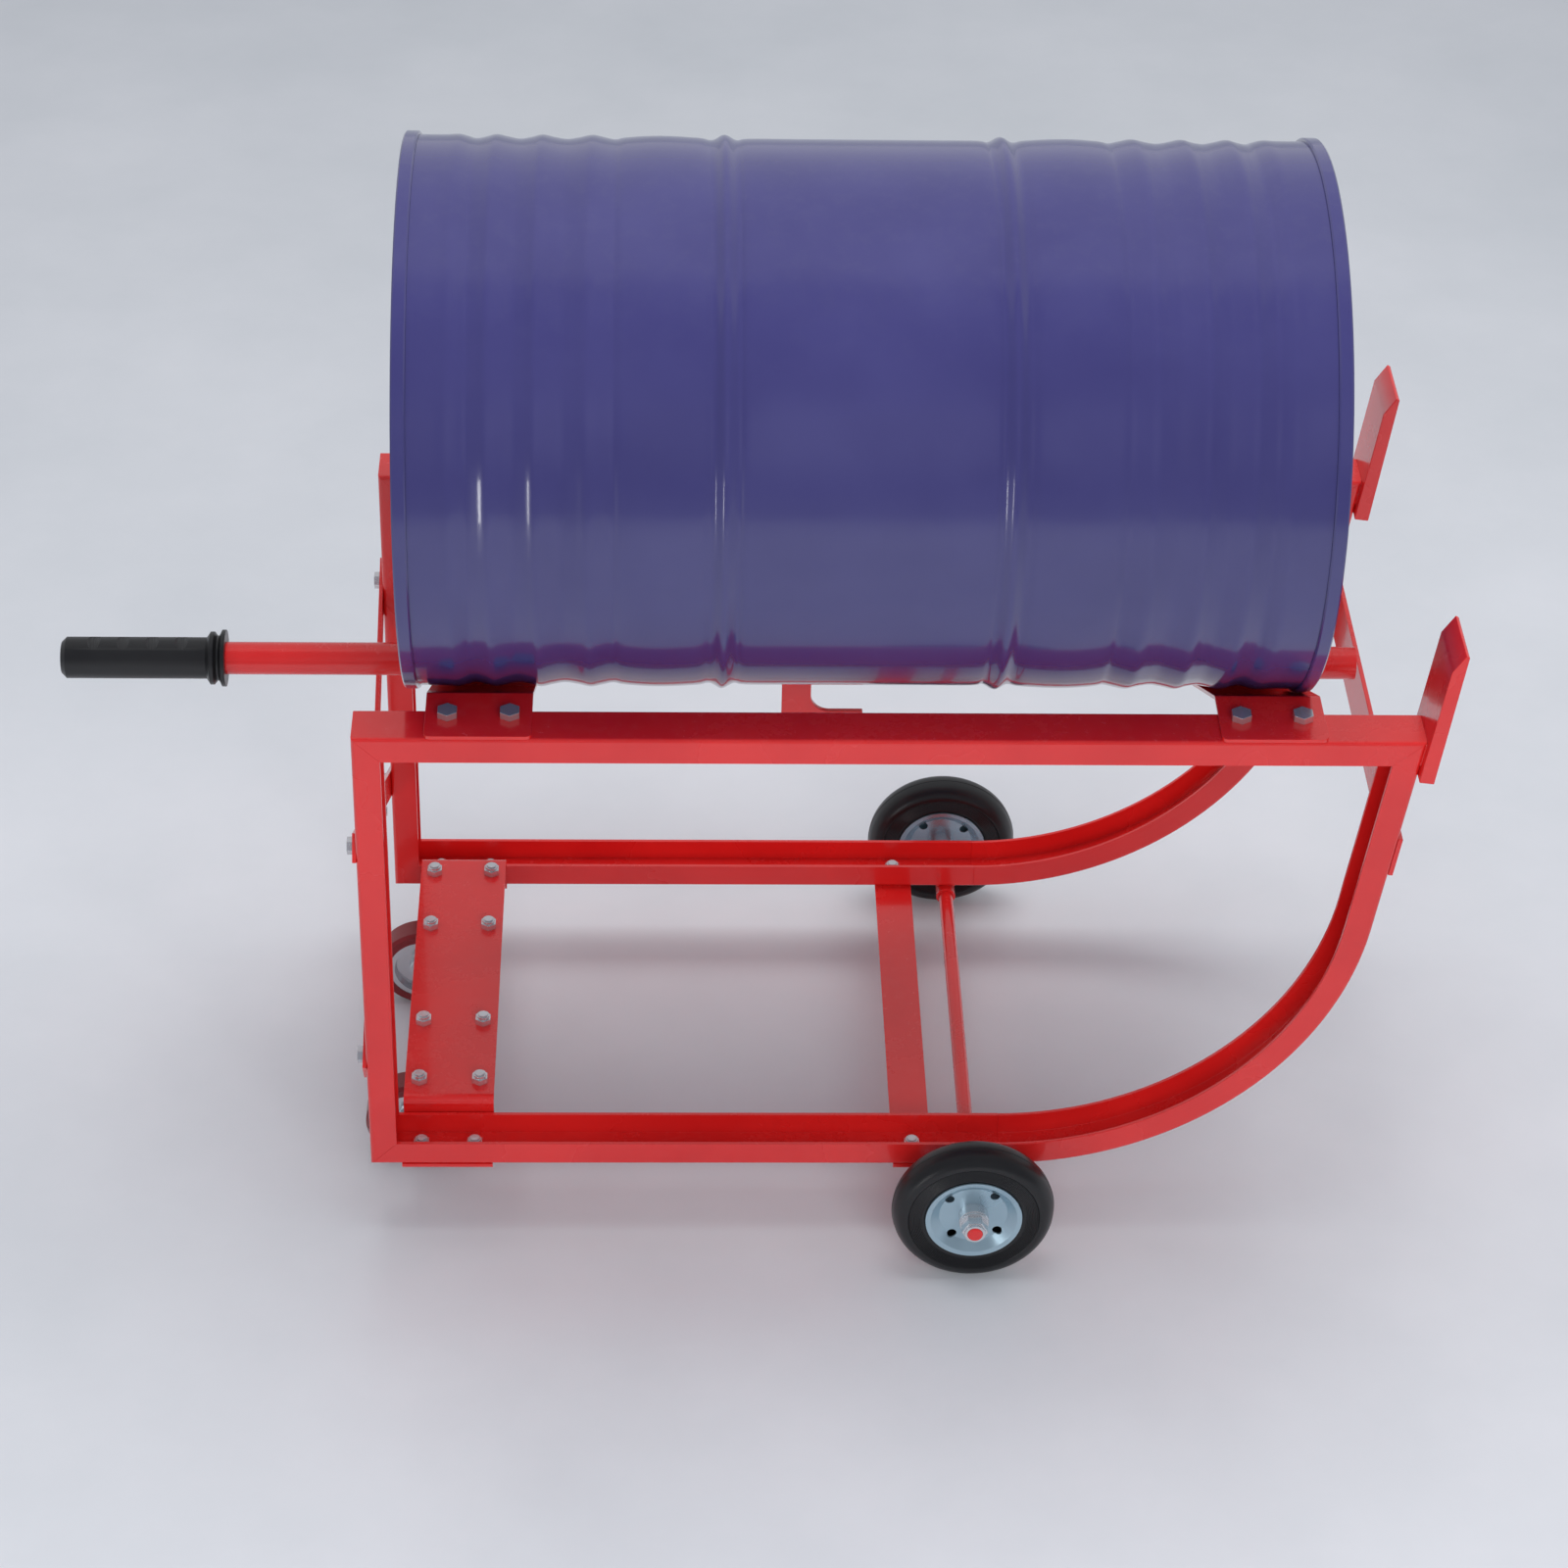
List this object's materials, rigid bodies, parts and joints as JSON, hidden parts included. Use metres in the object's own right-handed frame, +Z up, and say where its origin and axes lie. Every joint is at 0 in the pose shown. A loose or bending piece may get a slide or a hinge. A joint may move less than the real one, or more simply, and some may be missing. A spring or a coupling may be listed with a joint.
{
  "type": "steel drum on a wheeled tilting drum cradle",
  "caption": "Steel drum lying on a red wheeled tilting cradle, with a gripped pull-out lever under the drum, curved front runners, fixed rear casters on swivels and large side wheels.",
  "frame": {"origin": "on the floor, at the middle of the overall length and width", "axes": "+X from the lever's grip towards the toe plates, along the drum; +Y across, towards the far side; +Z up"},
  "size_m": [1.3957, 0.714, 1.14],
  "materials": {
    "red_paint": "gloss powder coat",
    "drum_paint": "gloss enamel",
    "zinc": "bright zinc plate",
    "tyre_rubber": "matt",
    "tread_plastic": "satin",
    "grip_plastic": "satin",
    "gasket_rubber": "matt"
  },
  "bodies": {
    "cradle": {"bottom_rail_near": "red_paint", "bottom_rail_far": "red_paint", "rear_upright_near": "red_paint", "rear_upright_far": "red_paint", "top_rail_near": "red_paint", "top_rail_far": "red_paint", "front_bow_near": "red_paint", "front_bow_far": "red_paint", "toe_plate_near": "red_paint", "toe_plate_far": "red_paint", "saddle_rear": "red_paint", "saddle_front": "red_paint", "caster_carrier": "red_paint", "cross_bar": "red_paint", "front_tie_bar": "red_paint", "brace_bar_straight": "red_paint", "brace_bar_joggled": "red_paint", "axle": "red_paint", "axle_sleeves": "red_paint", "saddle_bolts": "zinc", "saddle_nuts": "zinc", "rail_bolts": "zinc", "rail_nuts": "zinc", "caster_bolts": "zinc", "caster_nuts": "zinc", "brace_bolts": "zinc", "brace_nuts": "zinc", "axle_washers": "zinc", "axle_lock_nuts": "zinc", "caster_plate_near": "zinc", "caster_plate_far": "zinc", "caster_kingpin_near": "zinc", "caster_kingpin_far": "zinc"},
    "main_wheel_near": {"wheel_tyre_near": "tyre_rubber", "wheel_rim_near": "zinc", "wheel_hub_near": "zinc"},
    "caster_swivel_near": {"caster_fork_near": "zinc", "caster_axle_near": "zinc"},
    "caster_wheel_near": {"caster_core_near": "zinc", "caster_tread_near": "tread_plastic"},
    "main_wheel_far": {"wheel_tyre_far": "tyre_rubber", "wheel_rim_far": "zinc", "wheel_hub_far": "zinc"},
    "caster_swivel_far": {"caster_fork_far": "zinc", "caster_axle_far": "zinc"},
    "caster_wheel_far": {"caster_core_far": "zinc", "caster_tread_far": "tread_plastic"},
    "lever": {"lever_tube": "red_paint", "lever_hook": "red_paint", "lever_grip": "grip_plastic"},
    "drum": {"drum_shell": "drum_paint", "drum_top_head": "drum_paint", "drum_bottom_head": "drum_paint", "bung_flanges": "zinc"},
    "gasket_large": {"bung_gasket_large": "gasket_rubber"},
    "plug_large": {"bung_plug_large": "zinc"},
    "gasket_small": {"bung_gasket_small": "gasket_rubber"},
    "plug_small": {"bung_plug_small": "zinc"}
  },
  "joints": [
    {"name": "main_wheel_spin_near", "type": "hinge", "parent": "cradle", "child": "main_wheel_near", "pos_m": [0.248, -0.3148, 0.085], "axis": [0, 1, 0], "continuous": true},
    {"name": "caster_turn_near", "type": "hinge", "parent": "cradle", "child": "caster_swivel_near", "pos_m": [-0.302, -0.1295, 0.124], "axis": [0, 0, 1], "continuous": true},
    {"name": "caster_spin_near", "type": "hinge", "parent": "caster_swivel_near", "child": "caster_wheel_near", "pos_m": [-0.346, -0.1295, 0.05], "axis": [0, 1, 0], "continuous": true},
    {"name": "main_wheel_spin_far", "type": "hinge", "parent": "cradle", "child": "main_wheel_far", "pos_m": [0.248, 0.3148, 0.085], "axis": [0, 1, 0], "continuous": true},
    {"name": "caster_turn_far", "type": "hinge", "parent": "cradle", "child": "caster_swivel_far", "pos_m": [-0.302, 0.1295, 0.124], "axis": [0, 0, 1], "continuous": true},
    {"name": "caster_spin_far", "type": "hinge", "parent": "caster_swivel_far", "child": "caster_wheel_far", "pos_m": [-0.346, 0.1295, 0.05], "axis": [0, 1, 0], "continuous": true},
    {"name": "lever_slide", "type": "slide", "parent": "cradle", "child": "lever", "axis": [-1, 0, 0], "range_m": [0, 0.16]},
    {"name": "drum_lift", "type": "slide", "parent": "cradle", "child": "drum", "axis": [0, 0, 1], "range_m": [0, 0.4]},
    {"name": "bung_travel_large", "type": "slide", "parent": "drum", "child": "gasket_large", "axis": [-1, 0, 0], "range_m": [0, 0.01385]},
    {"name": "bung_turn_large", "type": "hinge", "parent": "gasket_large", "child": "plug_large", "pos_m": [-0.315, 0, 1.05198], "axis": [-1, 0, 0], "range_deg": [0, 2160]},
    {"name": "bung_travel_small", "type": "slide", "parent": "drum", "child": "gasket_small", "axis": [-1, 0, 0], "range_m": [0, 0.01088]},
    {"name": "bung_turn_small", "type": "hinge", "parent": "gasket_small", "child": "plug_small", "pos_m": [-0.315, 0, 0.66398], "axis": [-1, 0, 0], "range_deg": [0, 2160]}
  ],
  "couplings": [
    {"joint": "bung_turn_large", "follows": "bung_travel_large", "rad_per_m": 2721.2},
    {"joint": "bung_turn_small", "follows": "bung_travel_small", "rad_per_m": 3463.7}
  ]
}
